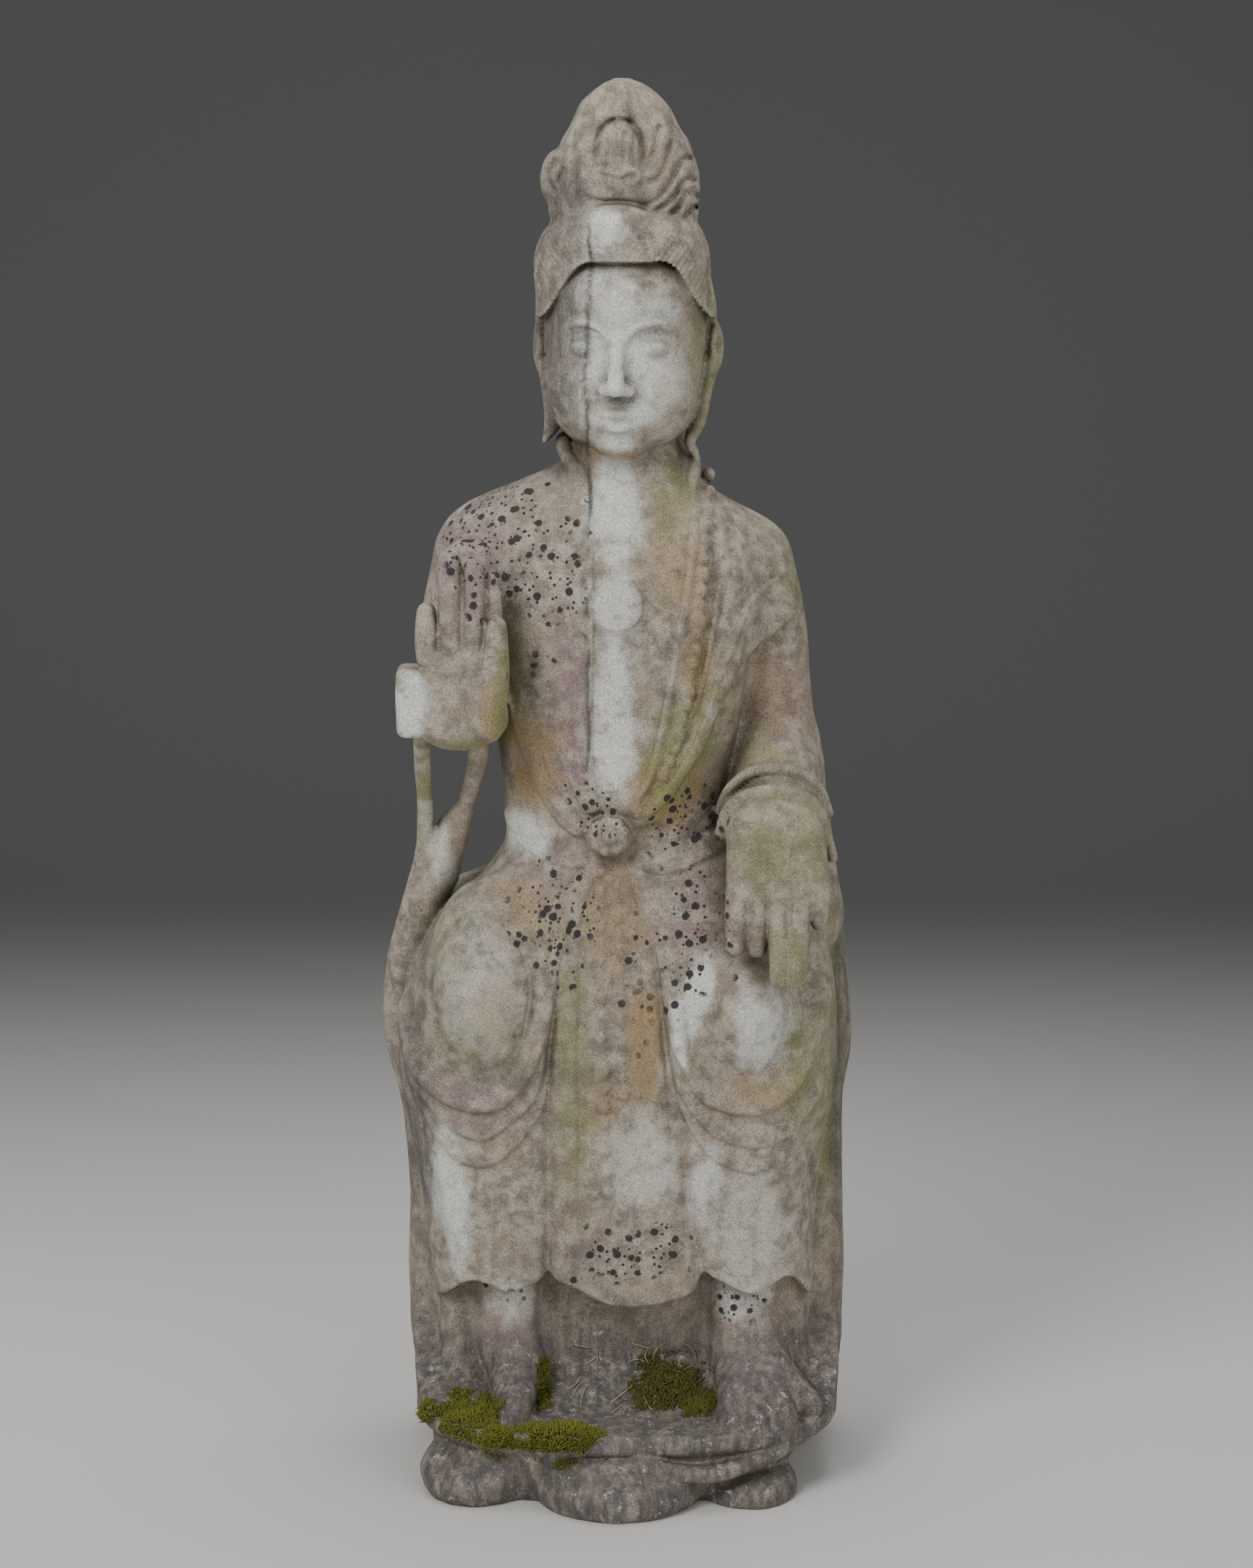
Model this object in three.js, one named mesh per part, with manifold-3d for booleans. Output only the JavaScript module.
// A carved stone figure of Guanyin standing on a lotus base, cut from one block.
// Millimetres, +Z up. The figure faces -Y, and the origin is under the middle of the base.
// The figure's own right hand is on the -X side. The field is laid out about the figure's own
// middle, and the finished solid is set back by SETBACK.
//
// The figure is modelled as a distance field: each limb, fold and lock is a short function that
// adds stone to the field or cuts it away. The field's zero surface is then meshed and thinned.

import * as THREE from 'three';
import { mergeVertices } from 'three/addons/utils/BufferGeometryUtils.js';
import Module from 'manifold-3d';

// Driving dimensions

const HEIGHT = 1500;            // underside to the top of the topknot
const GROUND_FRONT = 85;        // top of the base at its front rim
const GROUND_BACK = 165;        // top of the base where it meets the cloak
const FEET_FRONT = -112;        // how far forward the ground rises from
const CELL = 6;                 // spacing of the field's samples
const FINE_CELL = 4.2;          // their spacing through the head and down the front
const TRIANGLES = 9600;         // faces kept in the finished solid

const FACE = {
  x: 9, y: -12,                 // the head's axis
  chin: 1118, hairline: 1320,   // a face is three equal parts from hairline to chin
  halfWidth: 81,
  turn: THREE.MathUtils.degToRad(-6),   // the head looks a little to the figure's right
};
const FACE_THIRD = (FACE.hairline - FACE.chin) / 3;
const BROW_Z = FACE.hairline - FACE_THIRD;
const NOSE_Z = BROW_Z - FACE_THIRD;
const EYE_Z = BROW_Z - 0.3 * FACE_THIRD;
const MOUTH_Z = NOSE_Z - 0.36 * FACE_THIRD;
const EYE_WIDTH = 2 * FACE.halfWidth / 5;

const SETBACK = 26;             // how far the figure stands behind the middle of its base
const BASE = { left: 220, right: 241, front: 170, back: 140, rimUnder: 60 };
const KNOT = { x: -8, y: -118, z: 728, radius: 24 };
const PENDANT = { x: 0, z: 972, radius: 27, proud: 4.5 };
const BEAD = 7.5;

// Cross-sections of the figure, from the hem up: height, then how far the stone reaches
// to the left, right, front and back of the centre line.
const BODY = [
  [150, 192, 205, 70, 60],
  [215, 200, 212, 98, 70],
  [300, 211, 216, 102, 80],
  [400, 228, 229, 108, 88],
  [465, 236, 238, 112, 92],
  [560, 222, 232, 112, 94],
  [620, 186, 212, 108, 92],
  [661, 146, 180, 103, 90],
  [700, 120, 142, 98, 86],
  [728, 119, 124, 96, 82],
  [765, 121, 122, 98, 82],
  [820, 128, 128, 103, 85],
  [900, 146, 142, 109, 88],
  [970, 160, 152, 110, 86],
  [1015, 168, 152, 98, 76],
  [1050, 160, 136, 78, 62],
  [1080, 118, 98, 60, 50],
  [1100, 70, 78, 50, 46],
  [1118, 48, 66, 46, 44],
  [1132, 34, 54, 40, 42],
];

// The cloak that hangs behind the figure, from the base up.
const CLOAK = [
  [0, 160, 170, 40, 128],
  [60, 216, 236, 20, 138],
  [162, 232, 252, 12, 134],
  [300, 229, 250, 8, 128],
  [400, 240, 250, 8, 124],
  [450, 255, 259, 6, 122],
  [490, 260, 259, 6, 120],
  [540, 256, 254, 6, 116],
  [590, 240, 249, 6, 110],
  [635, 190, 242, 4, 106],
  [662, 130, 232, 0, 100],
  [700, 96, 214, -10, 96],
  [760, 98, 176, -20, 92],
  [860, 116, 156, -20, 93],
  [960, 138, 144, -20, 90],
  [1040, 118, 116, -20, 70],
];

// Hem of the skirt: the height of its lower edge from left to right.
const HEM = [
  [-240, 165], [-203, 190], [-158, 231], [-115, 221], [-69, 235], [0, 205],
  [70, 214], [99, 235], [145, 217], [188, 231], [217, 185], [260, 165],
];

// Small helpers

const clamp = (value, low, high) => Math.min(Math.max(value, low), high);
const mix = (a, b, t) => a + (b - a) * t;
const ease = (low, high, value) => {
  const t = clamp((value - low) / (high - low), 0, 1);
  return t * t * (3 - 2 * t);
};
const bell = (value, width) => Math.exp(-((value / width) ** 2));

// The smaller of two distances, rounded where they are within k of each other.
function join(a, b, k) {
  const h = Math.max(k - Math.abs(a - b), 0) / k;
  return Math.min(a, b) - h * h * k / 4;
}

// A smooth curve through rows of numbers: the first of each row is the place along it.
function sampler(rows) {
  return (at) => {
    let i = 0;
    while (i < rows.length - 2 && at > rows[i + 1][0]) i++;
    const [a, b] = [rows[i], rows[i + 1]];
    const t = clamp((at - a[0]) / (b[0] - a[0]), 0, 1);
    const before = rows[Math.max(i - 1, 0)];
    const after = rows[Math.min(i + 2, rows.length - 1)];
    return a.slice(1).map((value, n) => {
      const c = n + 1;
      const slopeA = (b[c] - before[c]) / (b[0] - before[0]) * (b[0] - a[0]);
      const slopeB = (after[c] - a[c]) / (after[0] - a[0]) * (b[0] - a[0]);
      const [t2, t3] = [t * t, t * t * t];
      return value * (2 * t3 - 3 * t2 + 1) + slopeA * (t3 - 2 * t2 + t)
        + b[c] * (3 * t2 - 2 * t3) + slopeB * (t3 - t2);
    });
  };
}

// Shapes: each has a box, and a distance that is negative inside

function ellipsoid(centre, radii, turn = [0, 0, 0]) {
  const c = new THREE.Vector3(...centre);
  const back = new THREE.Matrix4().makeRotationFromEuler(new THREE.Euler(...turn)).invert();
  const reach = Math.max(...radii);
  const p = new THREE.Vector3();
  return {
    low: centre.map((v) => v - reach),
    high: centre.map((v) => v + reach),
    distance(x, y, z) {
      p.set(x, y, z).sub(c).applyMatrix4(back);
      const [u, v, w] = [p.x / radii[0], p.y / radii[1], p.z / radii[2]];
      const k0 = Math.hypot(u, v, w);
      const k1 = Math.hypot(u / radii[0], v / radii[1], w / radii[2]);
      return k1 < 1e-9 ? -Math.min(...radii) : k0 * (k0 - 1) / k1;
    },
  };
}

function roundedBox(centre, half, round, turn = [0, 0, 0]) {
  const c = new THREE.Vector3(...centre);
  const back = new THREE.Matrix4().makeRotationFromEuler(new THREE.Euler(...turn)).invert();
  const reach = Math.hypot(...half);
  const p = new THREE.Vector3();
  return {
    low: centre.map((v) => v - reach),
    high: centre.map((v) => v + reach),
    distance(x, y, z) {
      p.set(x, y, z).sub(c).applyMatrix4(back);
      const q = [p.x, p.y, p.z].map((v, i) => Math.abs(v) - half[i] + round);
      return Math.hypot(...q.map((v) => Math.max(v, 0))) + Math.min(Math.max(...q), 0) - round;
    },
  };
}

// A rod along points [x, y, z, radius], smooth between them. A squash under 1 flattens it in y.
function rod(points, { steps = 6, squash = 1 } = {}) {
  let line = points;
  if (points.length > 2) {
    const at = sampler(points.map((p, i) => [i, ...p]));
    const count = (points.length - 1) * steps;
    line = Array.from({ length: count + 1 }, (_, i) => at(i / steps));
  }
  const reach = Math.max(...points.map((p) => p[3]));
  return {
    low: [0, 1, 2].map((i) => Math.min(...line.map((p) => p[i])) - reach),
    high: [0, 1, 2].map((i) => Math.max(...line.map((p) => p[i])) + reach),
    distance(x, y, z) {
      let best = Infinity;
      for (let i = 0; i + 1 < line.length; i++) {
        const [a, b] = [line[i], line[i + 1]];
        const [dx, dy, dz] = [b[0] - a[0], (b[1] - a[1]) / squash, b[2] - a[2]];
        const [px, py, pz] = [x - a[0], (y - a[1]) / squash, z - a[2]];
        const t = clamp((px * dx + py * dy + pz * dz) / (dx * dx + dy * dy + dz * dz), 0, 1);
        const d = Math.hypot(px - t * dx, py - t * dy, pz - t * dz) - mix(a[3], b[3], t);
        best = Math.min(best, d);
      }
      return best * (squash < 1 ? mix(squash, 1, 0.5) : 1);
    },
  };
}

// A body lofted up through cross-sections, squarer than an ellipse as the power grows.
function loft(rows, power) {
  const at = sampler(rows);
  const column = new Map();
  const [bottom, top] = [rows[0][0], rows[rows.length - 1][0]];
  const widest = (i) => Math.max(...rows.map((row) => row[i]));
  return {
    low: [-widest(1), -widest(3), bottom],
    high: [widest(2), widest(4), top],
    distance(x, y, z) {
      if (!column.has(z)) column.set(z, at(clamp(z, bottom, top)));
      const [left, right, front, back] = column.get(z);
      const [mid, half] = [(back - front) / 2, (back + front) / 2];
      const [a, b] = [x < 0 ? left : right, half];
      const [u, v] = [Math.abs(x) / a, Math.abs(y - mid) / b];
      const rho = Math.max((u ** power + v ** power) ** (1 / power), 1e-6);
      const slope = Math.hypot((u / rho) ** (power - 1) / a, (v / rho) ** (power - 1) / b);
      const side = (rho - 1) / Math.max(slope, 1e-6);
      const end = Math.max(bottom - z, z - top);
      return Math.max(side, end);
    },
  };
}

// The field

function axis(low, high, spacing) {
  const places = [low];
  while (places[places.length - 1] < high) {
    const last = places[places.length - 1];
    places.push(last + spacing(last));
  }
  return Float64Array.from(places);
}

const EMPTY = 90;
const xs = axis(-282, 282, (x) => (Math.abs(x) < 100 ? FINE_CELL : CELL));
const ys = axis(-225, 178, (y) => (y > -130 && y < -40 ? FINE_CELL : CELL));
const zs = axis(-45, HEIGHT + 18, (z) => (z > 1085 && z < 1400 ? FINE_CELL : CELL));
const [NX, NY, NZ] = [xs.length, ys.length, zs.length];
const index = (i, j, k) => (k * NY + j) * NX + i;
const field = new Float32Array(NX * NY * NZ).fill(EMPTY);

// Calls visit(n, x, y, z) at every sample within a margin of the shape's box.
function around(shape, margin, visit) {
  const span = [xs, ys, zs].map((places, n) => {
    const from = places.findIndex((v) => v >= shape.low[n] - margin);
    let to = places.length;
    while (to > 0 && places[to - 1] > shape.high[n] + margin) to--;
    return [from < 0 ? places.length : from, to];
  });
  for (let k = span[2][0]; k < span[2][1]; k++)
    for (let j = span[1][0]; j < span[1][1]; j++)
      for (let i = span[0][0]; i < span[0][1]; i++)
        visit(index(i, j, k), xs[i], ys[j], zs[k], i, k);
}

function add(shape, blend = 6) {
  around(shape, blend + 3 * CELL, (n, x, y, z) => {
    field[n] = join(field[n], shape.distance(x, y, z), blend);
  });
}

function cut(shape, blend = 6) {
  around(shape, blend + 3 * CELL, (n, x, y, z) => {
    field[n] = -join(-field[n], shape.distance(x, y, z), blend);
  });
}

// Carving that is drawn on the front of the figure, as lines of [x, z] points

const carving = new Float32Array(NX * NZ);
const CARVING_BACK = -14;       // carving fades out from here ...
const CARVING_FRONT = -42;      // ... and is full from here forward

const ridge = (height, width) => (s) => height * bell(s, width);
const groove = (depth, width) => (s) => -depth * bell(s, width);
// A layer of cloth that ends here: raised on the positive side, which is left of the line's way.
const edge = (height, fade) => (s) => height * ease(-2.5, 2.5, s) * Math.exp(-Math.max(s, 0) / fade);

function carve(points, profile, { reach = 26, ends = [0.1, 0.1], flip = false } = {}) {
  const curve = new THREE.SplineCurve(points.map(([x, z]) => new THREE.Vector2(x, z)));
  const line = curve.getPoints(points.length * 6);
  const count = line.length - 1;
  const box = new THREE.Box2().setFromPoints(line).expandByScalar(reach);
  for (let k = 0; k < NZ; k++)
    for (let i = 0; i < NX; i++) {
      const [x, z] = [xs[i], zs[k]];
      if (x < box.min.x || x > box.max.x || z < box.min.y || z > box.max.y) continue;
      let [near, side, along] = [reach, 1, 0];
      for (let n = 0; n < count; n++) {
        const [a, b] = [line[n], line[n + 1]];
        const [dx, dz, px, pz] = [b.x - a.x, b.y - a.y, x - a.x, z - a.y];
        const t = clamp((px * dx + pz * dz) / (dx * dx + dz * dz), 0, 1);
        const d = Math.hypot(px - t * dx, pz - t * dz);
        if (d >= near) continue;
        near = d;
        side = Math.sign(dx * pz - dz * px) || 1;
        along = (n + t) / count;
      }
      if (near >= reach) continue;
      const taper = ease(0, ends[0] || 1e-6, along) * ease(0, ends[1] || 1e-6, 1 - along);
      const close = 1 - ease(0.6 * reach, reach, near);
      carving[k * NX + i] += profile(near * side * (flip ? -1 : 1)) * taper * close;
    }
}

// A family of lines between two of the same number of points.
function between(first, last, shares, draw) {
  for (const share of shares)
    draw(first.map(([x, z], n) => [mix(x, last[n][0], share), mix(z, last[n][1], share)]), share);
}

function applyCarving() {
  for (let k = 0; k < NZ; k++)
    for (let j = 0; j < NY; j++) {
      const front = ease(-CARVING_BACK, -CARVING_FRONT, -ys[j]);
      if (front === 0) continue;
      for (let i = 0; i < NX; i++) field[index(i, j, k)] -= front * carving[k * NX + i];
    }
}

// The y of the first stone met from the front at this place.
function frontOf(x, z) {
  const nearest = (places, v) => places.reduce((m, p, n) => (
    Math.abs(p - v) < Math.abs(places[m] - v) ? n : m), 0);
  const [i, k] = [nearest(xs, x), nearest(zs, z)];
  for (let j = 1; j < NY; j++) {
    const [before, here] = [field[index(i, j - 1, k)], field[index(i, j, k)]];
    if (here < 0) return ys[j] - (ys[j] - ys[j - 1]) * here / (here - before);
  }
  return 0;
}

// Cloak, gown and legs

const THIGHS = [
  { centre: [-140, -50, 562], radii: [62, 76, 106] },
  { centre: [131, -50, 540], radii: [57, 74, 86] },
];
const LEGS = [
  [[-146, -36, 470, 66], [-140, -34, 330, 64], [-133, -32, 214, 60]],
  [[146, -36, 450, 66], [146, -34, 330, 62], [144, -32, 212, 58]],
];

function cloak() {
  add(loft(CLOAK, 2.7), 4);
}

function gown() {
  add(loft(BODY, 2.5), 10);
  for (const leg of LEGS) add(rod(leg), 14);
  for (const { centre, radii } of THIGHS) add(ellipsoid(centre, radii), 16);
  add(ellipsoid([6, -58, 800], [70, 50, 90]), 30);
  add(rod([[-128, 2, 1020, 49], [0, 2, 1030, 46], [116, 2, 1010, 46]]), 20);
  add(rod([[12, 4, 1140, 50], [10, 4, 1080, 56]]), 22);
}

// The gown's folds. Each thigh is ringed by swags that hang from the cloak and run up to the knot.
const SWAGS = [
  {
    roll: [[-238, 590], [-226, 512], [-192, 462], [-148, 443], [-108, 458], [-80, 505], [-62, 570],
      [-42, 640], [-20, 700]],
    last: [[-238, 500], [-224, 440], [-190, 396], [-145, 375], [-98, 392], [-68, 440], [-52, 520],
      [-36, 620], [-14, 700]],
  },
  {
    roll: [[214, 590], [214, 505], [198, 456], [160, 430], [124, 428], [92, 454], [72, 498],
      [52, 590], [8, 696]],
    last: [[238, 500], [226, 420], [186, 380], [137, 367], [98, 387], [76, 428], [61, 490],
      [45, 600], [2, 696]],
  },
];
const PANEL = {
  left: [[-16, 690], [-46, 590], [-62, 440], [-70, 320], [-69, 225]],
  right: [[16, 690], [44, 590], [62, 470], [82, 340], [99, 225]],
};

function foldsOfTheGown() {
  SWAGS.forEach(({ roll, last }, n) => {
    const flip = n === 1;
    carve(roll, ridge(10, 10), { ends: [0.05, 0.35] });
    carve(roll.map(([x, z]) => [x, z - 15]), edge(7, 20), { flip, ends: [0.1, 0.3] });
    between(roll, last, [0.55, 1], (line) => carve(line, edge(7, 18), { flip, ends: [0.1, 0.25] }));
  });
  carve(PANEL.left, groove(7, 9), { ends: [0.1, 0.02] });
  carve(PANEL.right, groove(7, 9), { ends: [0.1, 0.02] });
  between(PANEL.left, PANEL.right, [0.25, 0.75], (line) => (
    carve(line, groove(4, 8), { ends: [0.08, 0.5] })));
}

// The robe is open from neck to belt, and a shawl crosses the figure's left shoulder.
const LAPEL_RIGHT_HAND = [[-36, 1112], [-29, 1040], [-26, 950], [-24, 860], [-21, 790], [-14, 748]];
const LAPEL_LEFT_HAND = [[72, 1092], [76, 1020], [66, 935], [48, 850], [24, 780], [4, 746]];
const SHAWL = [[212, 938], [160, 915], [122, 876], [98, 814], [62, 758], [10, 728]];
const SHAWL_FOLD = [[204, 982], [150, 946], [108, 900], [86, 826], [50, 766], [8, 732]];
const SLEEVE = [[-126, 905], [-116, 840], [-98, 790], [-70, 756], [-38, 738], [-12, 730]];

function foldsOfTheRobe() {
  carve(LAPEL_RIGHT_HAND, edge(6, 34), { flip: true, ends: [0.02, 0.05] });
  carve(LAPEL_LEFT_HAND, edge(5, 26), { ends: [0.05, 0.1] });
  carve(SHAWL, edge(12, 40), { flip: true, ends: [0, 0.1], reach: 44 });
  carve(SHAWL_FOLD, edge(5, 18), { flip: true, ends: [0, 0.1] });
  carve(SLEEVE, edge(6, 16), { ends: [0.3, 0.1] });
  between(SLEEVE, LAPEL_RIGHT_HAND, [0.3], (line) => carve(line, edge(5, 16), { ends: [0.3, 0.1] }));
  carve([[-22, 1004], [20, 1008], [50, 1028], [74, 1066]], edge(4, 18), { flip: true });
}

// The belt: a flat band around the waist, tied in front.
function belt() {
  carve([[-124, 712], [-70, 706], [-20, 716], [20, 712], [70, 690], [126, 706]], ridge(4, 14), { ends: [0, 0] });
}

// Cuts the skirt off along its wavy hem, in front of the stone that carries it.
function hem() {
  const at = sampler(HEM);
  const edges = new Map([...xs].map((x) => [x, at(x)[0]]));
  cut({
    low: [-290, -220, -20],
    high: [290, 12, 260],
    distance: (x, y, z) => Math.max(z - edges.get(x), y + 6),
  }, 3);
}

// Arms, hands and what hangs from them

function rightArm() {
  add(rod([[-144, 2, 1004, 50], [-159, 8, 940, 47], [-165, 18, 872, 42]]), 18);
  add(rod([[-165, 16, 872, 40], [-158, -50, 862, 38], [-154, -100, 872, 34]]), 12);
  add(rod([[-158, -48, 880, 42], [-156, -64, 950, 40], [-152, -66, 1004, 32]]), 12);
}

// One hem of the right sleeve falls straight, and the scarf runs down beside it to the cloak.
function strands() {
  add(rod([[-202, -104, 846, 10], [-204, -66, 800, 8.5], [-204, -26, 740, 8.5], [-206, -4, 690, 10],
    [-217, 4, 635, 13], [-233, 4, 570, 15]]), 8);
  add(rod([[-142, -80, 850, 13], [-146, -52, 800, 11], [-158, -22, 752, 9], [-168, -6, 710, 10],
    [-184, 0, 660, 14]]), 5);
  add(rod([[-170, -16, 736, 6], [-180, -8, 718, 12], [-190, -2, 672, 20], [-208, 0, 618, 22],
    [-226, -4, 560, 22]]), 6);
}

function leftArm() {
  add(rod([[138, 2, 1000, 48], [154, 6, 935, 46], [160, 8, 870, 46], [166, 4, 790, 48]]), 16);
  add(rod([[168, 4, 800, 46], [168, -40, 778, 46], [166, -74, 756, 44]]), 14);
  add(rod([[178, 8, 770, 44], [194, 16, 690, 38], [210, 20, 610, 36]]), 14);
}

// Two hems of the left sleeve ring the wrist.
function cuff() {
  add(rod([[104, -84, 716, 8], [112, -98, 752, 8], [138, -108, 784, 8], [172, -108, 790, 8],
    [206, -98, 768, 8], [224, -78, 722, 8]]), 8);
  add(rod([[110, -76, 764, 7], [138, -88, 802, 7], [176, -88, 810, 7], [216, -76, 782, 7]]), 8);
}

// A finger from knuckle to tip.
const finger = (x, from, to, radius, y, lean = 0) => (
  rod([[x, y, from, radius], [x + lean / 2, y - 3, (from + to) / 2, radius],
    [x + lean, y + 2, to, radius * 0.86]], { steps: 3 }));

// The right hand is raised with its palm to the front, and lies against the shoulder.
function rightHand() {
  add(roundedBox([-158, -130, 888], [43, 24, 54], 20), 6);
  add(ellipsoid([-162, -128, 862], [50, 28, 38]), 6);
  add(roundedBox([-209, -132, 877], [17, 24, 36], 9), 4);
  add(finger(-194, 924, 971, 11.5, -144), 2);
  add(finger(-169.5, 928, 1025, 12.5, -142), 2);
  add(finger(-145.5, 928, 1015, 12, -142), 2);
  add(finger(-126, 928, 1004, 9.5, -134), 2);
  add(rod([[-133, -146, 852, 17], [-124, -152, 905, 15], [-122, -152, 957, 10.5]]), 4);
  cut(ellipsoid([-163, -166, 892], [26, 14, 30]), 8);
}

// The left hand is lowered with its palm to the front.
function leftHand() {
  add(ellipsoid([166, -96, 740], [55, 44, 42]), 8);
  add(roundedBox([165, -116, 706], [51, 26, 52], 22), 8);
  add(finger(124.5, 672, 616, 12, -130), 2);
  add(finger(146, 672, 614, 12, -132), 2);
  add(finger(168, 672, 583, 11.5, -138, 2), 2);
  add(finger(189, 672, 582, 12, -138, -3), 2);
  add(rod([[200, -122, 716, 17], [208, -130, 680, 14], [210, -132, 641, 8]]), 5);
  cut(ellipsoid([158, -150, 704], [28, 12, 32]), 8);
}

// Head and hair

const inHead = ([x, y, z]) => {
  const p = new THREE.Vector2(x, y).rotateAround(new THREE.Vector2(), FACE.turn);
  return [FACE.x + p.x, FACE.y + p.y, z];
};
const HEAD_TURN = [0, 0, FACE.turn];
const headLump = (centre, radii) => ellipsoid(inHead(centre), radii, HEAD_TURN);
const headRod = (points) => rod(points.map(([x, y, z, r]) => [...inHead([x, y, z]), r]));

function face() {
  add(headLump([0, 20, 1258], [86, 92, 86]), 10);
  add(headLump([0, -4, 1216], [FACE.halfWidth, 80, 98]), 14);
  add(headLump([0, -52, FACE.chin + 19], [27, 27, 19]), 14);
  for (const side of [-1, 1]) {
    add(headLump([side * 34, -26, 1172], [39, 48, 40]), 16);
    add(headLump([side * 40, -42, NOSE_Z + 4], [33, 34, 34]), 14);
    cut(headLump([side * EYE_WIDTH, -94, EYE_Z + 6], [19, 14, 9]), 8);
    add(headLump([side * EYE_WIDTH, -66, EYE_Z], [17, 16, 11]), 3);
    add(headRod([[side * 7, -82, BROW_Z - 10, 3.5], [side * 20, -82, BROW_Z + 3, 4],
      [side * 42, -72, BROW_Z + 6, 4], [side * 62, -50, BROW_Z - 6, 3]]), 7);
    add(headLump([side * 10, -86, NOSE_Z + 6], [9, 9, 7]), 3);
  }
  add(headRod([[0, -80, BROW_Z - 8, 6], [0, -88, NOSE_Z + 36, 7], [0, -97, NOSE_Z + 9, 9]]), 8);
  mouth();
  ear(-89, -80, -84);
  ear(86, 73, 64);
}

// Lips closed, with a shadow under them and a dip above the chin.
function mouth() {
  add(headLump([0, -66, MOUTH_Z + 1], [31, 22, 22]), 12);
  add(headRod([[-21, -78, MOUTH_Z + 4, 3], [-6, -86, MOUTH_Z + 6, 5], [6, -86, MOUTH_Z + 6, 5],
    [21, -78, MOUTH_Z + 4, 3]]), 4);
  add(headRod([[-17, -78, MOUTH_Z - 5, 3], [0, -84, MOUTH_Z - 8, 6], [17, -78, MOUTH_Z - 5, 3]]), 4);
  cut(headRod([[-24, -84, MOUTH_Z + 1, 1.5], [0, -93, MOUTH_Z - 1, 2], [24, -84, MOUTH_Z + 1, 1.5]]), 3);
  cut(headRod([[-10, -84, MOUTH_Z - 19, 2], [10, -84, MOUTH_Z - 19, 2]]), 8);
}

// An ear with the long lobe of a bodhisattva, by how far out its top, middle and tip are.
function ear(top, middle, tip) {
  const side = Math.sign(top);
  add(headLump([top, 22, 1222], [10, 22, 38]), 5);
  add(headRod([[top - 2 * side, 12, 1196, 10], [middle, 2, 1158, 11], [tip, -4, 1127, 8]]), 5);
  cut(headLump([top + 9 * side, 10, 1228], [6, 9, 18]), 3);
}

// The hairline: level over the brow, then down the temples and behind the ears to the nape.
function hairline(x, y) {
  const temple = 34 * ease(40, 86, Math.abs(x));
  const behind = ease(-56, 34, y);
  return mix(FACE.hairline - temple, 1130, behind);
}

function hair() {
  const back = headLump([0, 18, 1258], [93, 104, 94]);
  const crown = loft([
    [1140, 56, 52, 24, 74],
    [1200, 86, 80, 54, 108],
    [1285, 94, 87, 76, 122],
    [1320, 95, 88, 79, 116],
    [1345, 86, 78, 72, 100],
    [1368, 64, 58, 54, 78],
  ], 2.2);
  const lock = 15;
  add({
    low: [-110, -120, 1100],
    high: [130, 130, 1380],
    distance(x, y, z) {
      const away = Math.abs(x - FACE.x);
      const comb = Math.cos((z * 0.72 + away * 0.62 - y * 0.2) * 2 * Math.PI / lock);
      const skin = join(back.distance(x, y, z), crown.distance(x - FACE.x, y - FACE.y, z), 8);
      return Math.max(skin - 1.6 * comb, hairline(x - FACE.x, y - FACE.y) - z);
    },
  }, 3);
  topknot();
}

// The hair is drawn up into a tall knot, combed in strands that fan from its foot.
function topknot() {
  const knot = loft([
    [1330, 64, 77, 58, 84],
    [1353, 69, 82, 60, 82],
    [1400, 68, 80, 62, 78],
    [1433, 58, 74, 54, 68],
    [1461, 45, 61, 42, 54],
    [1481, 32, 46, 30, 42],
    [1494, 16, 30, 17, 27],
    [HEIGHT, 2, 14, 4, 14],
  ], 2.1);
  const foot = { x: 8, z: 1320 };
  const strands = 15;
  add({
    ...knot,
    distance(x, y, z) {
      const fan = Math.atan2(x - foot.x, z - foot.z);
      return knot.distance(x, y, z) - 2.2 * Math.cos(fan * strands) * ease(HEIGHT, HEIGHT - 60, z);
    },
  }, 6);
  add(ellipsoid([-58, 4, 1398], [21, 30, 32]), 5);
  add(ellipsoid([67, 4, 1388], [18, 36, 46]), 5);
  // A smooth roll over the brow, and a lock above it.
  add(ellipsoid([1, -66, 1345], [40, 30, 22]), 6);
  add(rod([[2, -58, 1376, 14], [3, -60, 1410, 16], [5, -48, 1448, 13]], { squash: 0.8 }), 6);
  add(rod([[-30, -50, 1398, 8], [-14, -62, 1408, 8], [3, -66, 1404, 8], [20, -62, 1408, 8],
    [36, -50, 1398, 8]]), 4);
}

// Jewellery

// A string of beads lies on the front of the stone along [x, z] points.
function beads(points, radius) {
  const curve = new THREE.SplineCurve(points.map(([x, z]) => new THREE.Vector2(x, z)));
  const count = Math.round(curve.getLength() / (3 * radius));
  add(rod(curve.getSpacedPoints(count).map((p) => (
    [p.x, frontOf(p.x, p.y) - 0.2 * radius, p.y, radius])), { steps: 1 }), 3);
}

function jewellery() {
  const { x, z, radius, proud } = PENDANT;
  const y = frontOf(x, z);
  add({
    low: [x - radius, y - proud, z - radius],
    high: [x + radius, y + 20, z + radius],
    distance: (px, py, pz) => Math.max(Math.hypot(px - x, pz - z) - radius, y - proud - py, py - y - 20),
  }, 3);
  beads([[84, 1082], [93, 1000], [84, 910], [68, 868], [50, 820], [24, 768]], BEAD);
  beads([[-15, 694], [-16, 520], [-14, 344]], BEAD);
  beads([[8, 694], [8, 560], [9, 414]], BEAD);
  add(ellipsoid([KNOT.x, KNOT.y + 10, KNOT.z], [KNOT.radius, 16, KNOT.radius - 2]), 5);
}

// Feet and base

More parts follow.
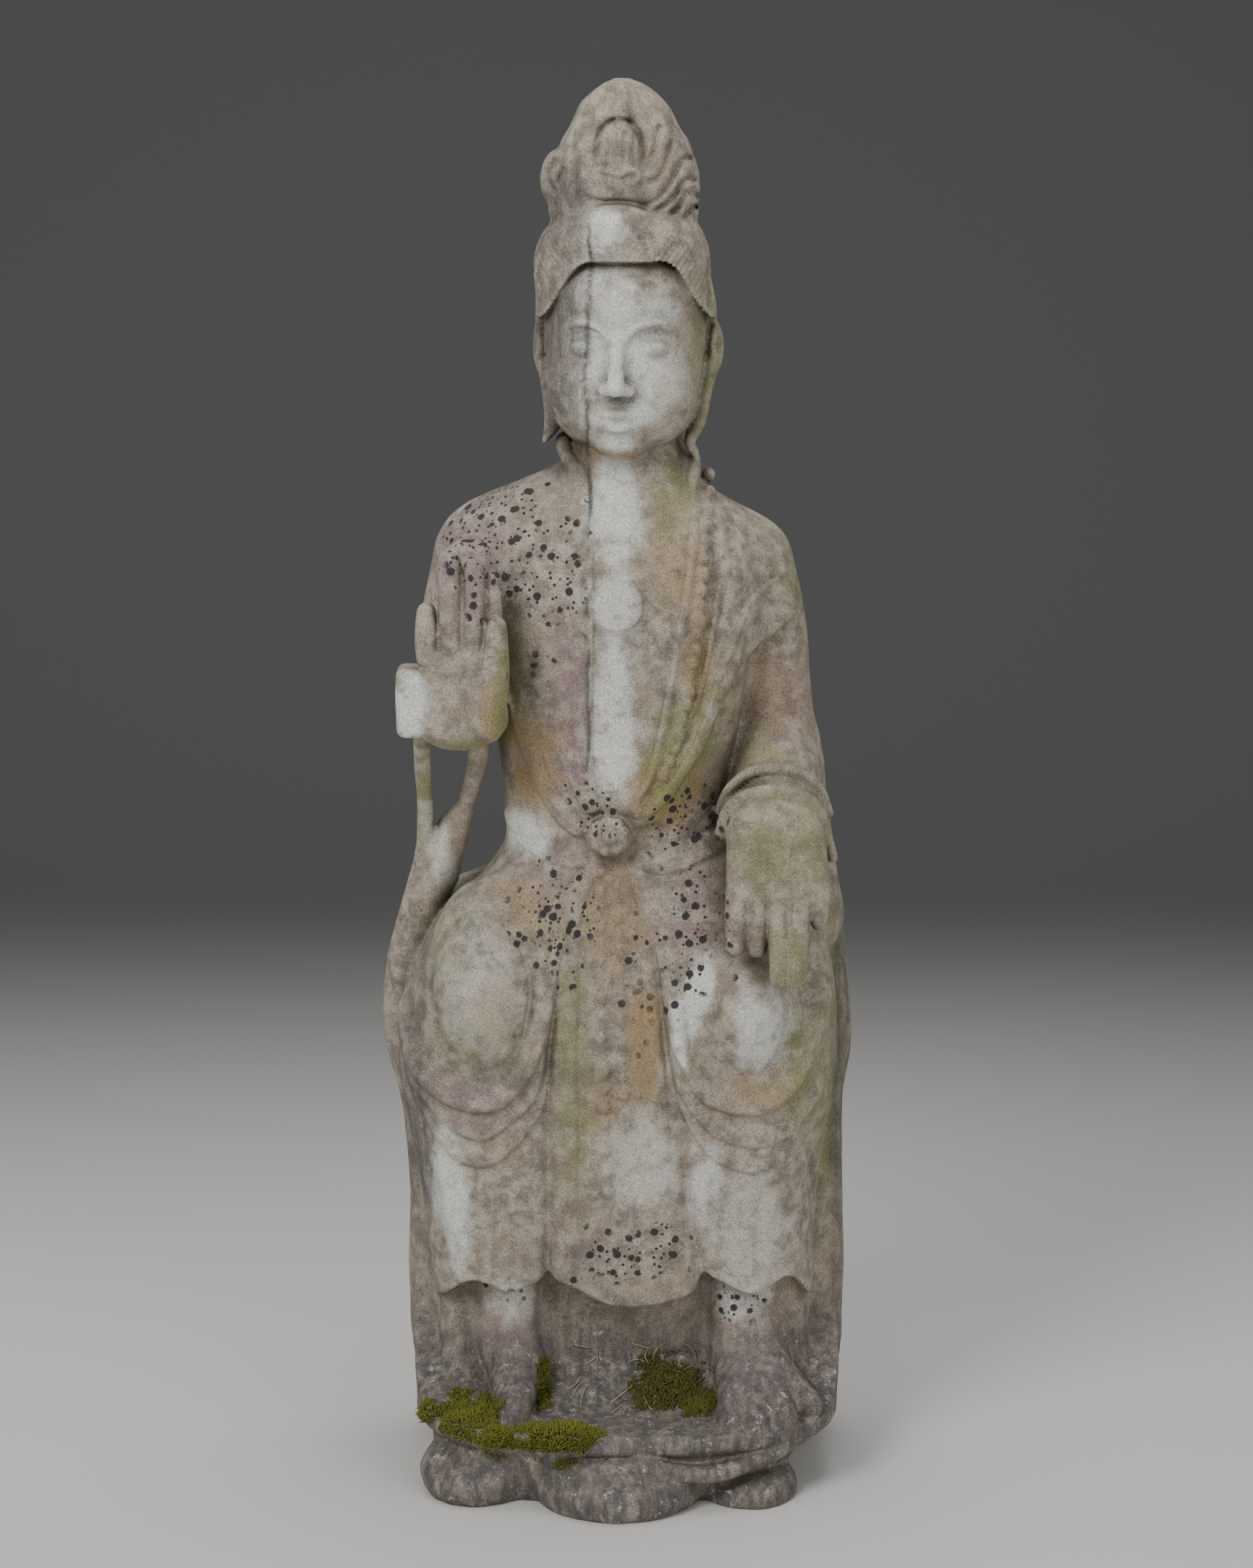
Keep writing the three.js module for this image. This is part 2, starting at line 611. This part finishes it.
function feet() {
  add(rod([[-112, -20, 245, 37], [-112, -30, 160, 35], [-111, -42, 124, 33]]), 10);
  add(rod([[-111, -48, 118, 33], [-108, -88, 106, 26], [-105, -122, 92, 17]]), 8);
  add(rod([[137, -20, 245, 40], [137, -30, 160, 39], [142, -42, 122, 40]]), 10);
  for (const [x, y, z] of [[120, -124, 92], [148, -128, 92], [174, -122, 92], [194, -108, 92]])
    add(rod([[142, -44, 118, 36], [mix(142, x, 0.6), mix(-46, y, 0.6), 106, 22], [x, y, z, 14]]), 6);
}

function groundAt(x, y) {
  const roll = 3 * Math.sin(x / 31 + 0.8) * Math.cos(y / 27) + 2 * Math.sin(x / 13 - y / 17);
  return mix(GROUND_FRONT, GROUND_BACK, ease(FEET_FRONT, 60, y)) + roll * ease(-150, -100, y);
}

function base() {
  const { left, right, front, back, rimUnder } = BASE;
  // The slab: a rounded front rim, and ground that climbs behind the feet.
  const slab = loft([
    [rimUnder - 8, left - 30, right - 36, front - 26, back - 10],
    [rimUnder + 3, left - 8, right - 8, front - 5, back - 4],
    [rimUnder + 12, left, right, front, back],
    [GROUND_FRONT, left, right, front - 3, back],
    [GROUND_BACK + 20, left + 8, right + 5, front - 6, back - 6],
  ], 2.8);
  add({ ...slab, distance: (x, y, z) => Math.max(slab.distance(x, y, z), z - groundAt(x, y)) }, 8);
  add(roundedBox([6, 42, 140], [202, 78, 110], 24), 12);
  // Lotus petals turn out below it.
  add(loft([
    [-12, 178, 168, 134, 132],
    [6, 188, 176, 142, 140],
    [30, 196, 182, 148, 144],
    [rimUnder + 6, 200, 188, 156, 138],
  ], 3), 6);
  const petal = (x, y, angle, wide, deep) => (
    ellipsoid([x, y, 22], [wide, deep, 52], [0, 0, THREE.MathUtils.degToRad(angle)]));
  add(petal(-3, -112, 0, 97, 92), 3);
  add(petal(-146, -88, -20, 62, 74), 4);
  add(petal(136, -90, 20, 54, 74), 4);
  for (const side of [-1, 1]) {
    add(petal(side * 150, 14, 90, 66, 52), 4);
    add(petal(side * 116, 90, side * -30, 72, 52), 4);
  }
  add(petal(0, 100, 0, 72, 52), 4);
}

// The back of the cloak: long folds that fall from the shoulders.
function foldsOfTheBack() {
  const shape = { low: [-260, 0, 180], high: [260, 160, 1060] };
  around(shape, 0, (n, x, y, z) => {
    const spread = 1 + 0.5 * ease(1000, 250, z);
    const fold = Math.cos(x / (21 * spread)) * 4 * ease(30, 60, y) * ease(170, 260, z);
    field[n] -= fold * ease(1060, 900, z);
  });
}

cloak();
gown();
rightArm();
leftArm();
hem();
foldsOfTheGown();
foldsOfTheRobe();
belt();
applyCarving();
foldsOfTheBack();
feet();
base();
strands();
cuff();
jewellery();
rightHand();
leftHand();
face();
hair();

// Meshing: one point in each cell that the surface crosses, one quad for each edge it crosses

// Fills the stray samples that would leave two sheets of surface touching along an edge
// or at a point: a face or a cell whose filled corners meet only across its diagonal.
function closeCorners() {
  const steps = [1, NX, NX * NY];
  const across = steps[0] + steps[1] + steps[2];
  const diagonals = [
    [0, across],
    [steps[0], across - steps[0]],
    [steps[1], across - steps[1]],
    [steps[2], across - steps[2]],
  ];
  const cell = diagonals.flat();
  const fillOne = (samples) => {
    const open = samples.filter((n) => field[n] >= 0);
    field[open.reduce((m, n) => (field[n] < field[m] ? n : m))] = -0.2;
  };
  const closeFace = (a, u, v) => {
    const pairs = [[a, a + u + v], [a + u, a + v]].map((pair) => pair.map((n) => field[n] < 0));
    const [[p, q], [r, s]] = pairs;
    if (p !== q || r !== s || p === r) return false;
    fillOne([a, a + u + v, a + u, a + v]);
    return true;
  };
  const closeCell = (a) => {
    const filled = cell.filter((c) => field[a + c] < 0).length;
    if (filled !== 2 && filled !== 6) return false;
    const odd = filled === 2;
    if (!diagonals.some((pair) => pair.every((c) => (field[a + c] < 0) === odd))) return false;
    fillOne(cell.map((c) => a + c));
    return true;
  };
  let changed = true;
  while (changed) {
    changed = false;
    for (let k = 0; k < NZ - 1; k++)
      for (let j = 0; j < NY - 1; j++)
        for (let i = 0; i < NX - 1; i++) {
          const a = index(i, j, k);
          for (const [u, v] of [[0, 1], [1, 2], [0, 2]])
            if (closeFace(a, steps[u], steps[v])) changed = true;
          if (closeCell(a)) changed = true;
        }
  }
}

// Keeps only the samples joined to the given one on its own side of the surface.
function keepJoined(start, isSame, other) {
  const seen = new Uint8Array(field.length);
  const queue = [start];
  seen[start] = 1;
  while (queue.length > 0) {
    const n = queue.pop();
    for (const step of [1, -1, NX, -NX, NX * NY, -NX * NY]) {
      const m = n + step;
      if (m < 0 || m >= field.length || seen[m] || !isSame(field[m])) continue;
      seen[m] = 1;
      queue.push(m);
    }
  }
  for (let n = 0; n < field.length; n++) if (!seen[n] && isSame(field[n])) field[n] = other;
}

function surfaceOfField() {
  const places = [];
  const faces = [];
  const pointOf = new Int32Array(NX * NY * NZ).fill(-1);
  const corners = [0, 1, NX, NX + 1, NX * NY, NX * NY + 1, NX * NY + NX, NX * NY + NX + 1];
  const edges = [];
  for (let a = 0; a < 8; a++)
    for (const bit of [1, 2, 4]) if (!(a & bit)) edges.push([a, a | bit]);
  for (let k = 0; k < NZ - 1; k++)
    for (let j = 0; j < NY - 1; j++)
      for (let i = 0; i < NX - 1; i++) {
        const n = index(i, j, k);
        const inside = corners.map((c) => field[n + c] < 0);
        if (inside.every((v) => v === inside[0])) continue;
        const sum = [0, 0, 0];
        let crossings = 0;
        for (const [a, b] of edges) {
          if (inside[a] === inside[b]) continue;
          const [fa, fb] = [field[n + corners[a]], field[n + corners[b]]];
          const t = fa / (fa - fb);
          const at = (bit) => ((a & bit) ? 1 : 0) + ((b & bit) !== (a & bit) ? t : 0);
          sum[0] += mix(xs[i], xs[i + 1], at(1));
          sum[1] += mix(ys[j], ys[j + 1], at(2));
          sum[2] += mix(zs[k], zs[k + 1], at(4));
          crossings++;
        }
        pointOf[n] = places.length / 3;
        places.push(...sum.map((v) => v / crossings));
      }
  const steps = [1, NX, NX * NY];
  for (let k = 1; k < NZ - 1; k++)
    for (let j = 1; j < NY - 1; j++)
      for (let i = 1; i < NX - 1; i++)
        for (let d = 0; d < 3; d++) {
          const n = index(i, j, k);
          const [here, next] = [field[n] < 0, field[n + steps[d]] < 0];
          if (here === next) continue;
          const [u, v] = [steps[(d + 1) % 3], steps[(d + 2) % 3]];
          const ring = [n, n - u, n - u - v, n - v].map((m) => pointOf[m]);
          if (!here) ring.reverse();
          faces.push([ring[0], ring[1], ring[2]], [ring[0], ring[2], ring[3]]);
        }
  return { places, faces };
}

// Thinning: edges are closed up one by one while the form stays within a growing limit

// A quadric holds the sum of squared distances to a set of planes, each by its area.
function addPlane(quadrics, v, normal, offset, area) {
  const [a, b, c] = normal.toArray();
  const terms = [a * a, a * b, a * c, a * offset, b * b, b * c, b * offset, c * c, c * offset,
    offset * offset];
  terms.forEach((term, n) => { quadrics[10 * v + n] += term * area; });
}

const quadricAt = (q, p) => (
  q[0] * p.x * p.x + 2 * q[1] * p.x * p.y + 2 * q[2] * p.x * p.z + 2 * q[3] * p.x
  + q[4] * p.y * p.y + 2 * q[5] * p.y * p.z + 2 * q[6] * p.y
  + q[7] * p.z * p.z + 2 * q[8] * p.z + q[9]);

// The point of least quadric, held a little to the middle of the edge where the stone is flat.
function bestPoint(q, middle, hold) {
  const m = new THREE.Matrix3().set(
    q[0] + hold, q[1], q[2],
    q[1], q[4] + hold, q[5],
    q[2], q[5], q[7] + hold,
  ).invert();
  return new THREE.Vector3(
    hold * middle.x - q[3],
    hold * middle.y - q[6],
    hold * middle.z - q[8],
  ).applyMatrix3(m);
}

// The face and hands keep more of their faces than the back of the cloak does.
function careAt(p) {
  const head = p.z > 1110 && p.y < 10 ? 5 : 1;
  const hands = p.y < -90 && p.z > 560 && Math.abs(p.x) > 100 ? 4 : 1;
  const back = p.y > 50 || p.z < 40 ? 0.5 : 1;
  return head * hands * back;
}

function thinned({ places, faces }, target) {
  const count = places.length / 3;
  const points = Array.from({ length: count }, (_, v) => (
    new THREE.Vector3().fromArray(places, 3 * v)));
  const facesOf = Array.from({ length: count }, () => []);
  const quadrics = new Float64Array(10 * count);
  const normalOf = ([a, b, c], moved, to) => {
    const [p, q, r] = [a, b, c].map((v) => (v === moved ? to : points[v]));
    return new THREE.Vector3().subVectors(q, p).cross(new THREE.Vector3().subVectors(r, p));
  };
  faces.forEach((face, f) => {
    const normal = normalOf(face);
    const area = normal.length() / 2;
    normal.normalize();
    for (const v of face) {
      facesOf[v].push(f);
      addPlane(quadrics, v, normal, -normal.dot(points[face[0]]), area);
    }
  });
  const ringOf = (v) => new Set(facesOf[v].flatMap((f) => faces[f]));
  const turns = (v, without, to) => facesOf[v].some((f) => {
    if (faces[f].includes(without)) return false;
    const [before, after] = [normalOf(faces[f]), normalOf(faces[f], v, to)];
    return before.dot(after) < 0.3 * before.length() * after.length() || after.length() < 1e-3;
  });

  function close(u, v, limit) {
    const q = Array.from({ length: 10 }, (_, n) => quadrics[10 * u + n] + quadrics[10 * v + n]);
    const middle = points[u].clone().add(points[v]).multiplyScalar(0.5);
    const to = bestPoint(q, middle, 0.01 * (q[0] + q[4] + q[7]));
    const spread = 0.02 * points[u].distanceToSquared(points[v]);
    if ((quadricAt(q, to) + spread) * careAt(to) > limit) return false;
    const ring = ringOf(u);
    const shared = [...ringOf(v)].filter((w) => w !== u && w !== v && ring.has(w));
    if (shared.length !== 2 || turns(u, v, to) || turns(v, u, to)) return false;
    points[u] = to;
    q.forEach((term, n) => { quadrics[10 * u + n] = term; });
    for (const f of facesOf[v]) {
      if (faces[f].includes(u)) {
        for (const w of faces[f]) if (w !== v) facesOf[w] = facesOf[w].filter((g) => g !== f);
        faces[f] = null;
      } else {
        faces[f] = faces[f].map((w) => (w === v ? u : w));
        facesOf[u].push(f);
      }
    }
    facesOf[v] = [];
    return true;
  }

  let left = faces.length;
  for (let limit = 2; left > target; limit *= 1.3)
    for (let f = 0; f < faces.length && left > target; f++)
      for (let e = 0; e < 3 && faces[f] && left > target; e++)
        if (close(faces[f][e], faces[f][(e + 1) % 3], limit)) left -= 2;
  return { points, faces: faces.filter(Boolean) };
}

// The finished solid, cut flat underneath

function geometryOf({ points, faces }) {
  const geometry = new THREE.BufferGeometry();
  geometry.setAttribute('position', new THREE.Float32BufferAttribute(points.flatMap((p) => p.toArray()), 3));
  geometry.setIndex(faces.flat());
  return geometry;
}

const wasm = await Module();
wasm.setup();

function solidOf(geometry) {
  const joined = mergeVertices(geometry, 1e-4);
  const mesh = new wasm.Mesh({
    numProp: 3,
    vertProperties: Float32Array.from(joined.getAttribute('position').array),
    triVerts: Uint32Array.from(joined.getIndex().array),
  });
  return new wasm.Manifold(mesh);
}

function flatUnderneath(geometry) {
  const depth = 200;
  const floor = new THREE.BoxGeometry(1000, 1000, depth).translate(0, 0, -depth / 2);
  floor.deleteAttribute('normal');
  floor.deleteAttribute('uv');
  const mesh = solidOf(geometry).subtract(solidOf(floor)).getMesh();
  const result = new THREE.BufferGeometry();
  result.setAttribute('position', new THREE.BufferAttribute(mesh.vertProperties, 3));
  result.setIndex(new THREE.BufferAttribute(mesh.triVerts, 1));
  result.translate(0, SETBACK, 0);
  result.computeVertexNormals();
  return result;
}

const heart = index(Math.round(NX / 2), ys.findIndex((y) => y > 20), Math.round(NZ / 2));
keepJoined(heart, (value) => value < 0, EMPTY);
keepJoined(0, (value) => value >= 0, -EMPTY);
closeCorners();
const surface = thinned(surfaceOfField(), TRIANGLES);

const stone = new THREE.MeshStandardMaterial({ name: 'stone', color: 0xb3aa9c, roughness: 0.9 });
const statue = new THREE.Mesh(flatUnderneath(geometryOf(surface)), stone);
statue.name = 'guanyin_statue';

const group = new THREE.Group();
group.name = 'guanyin';
group.add(statue);

export default group;
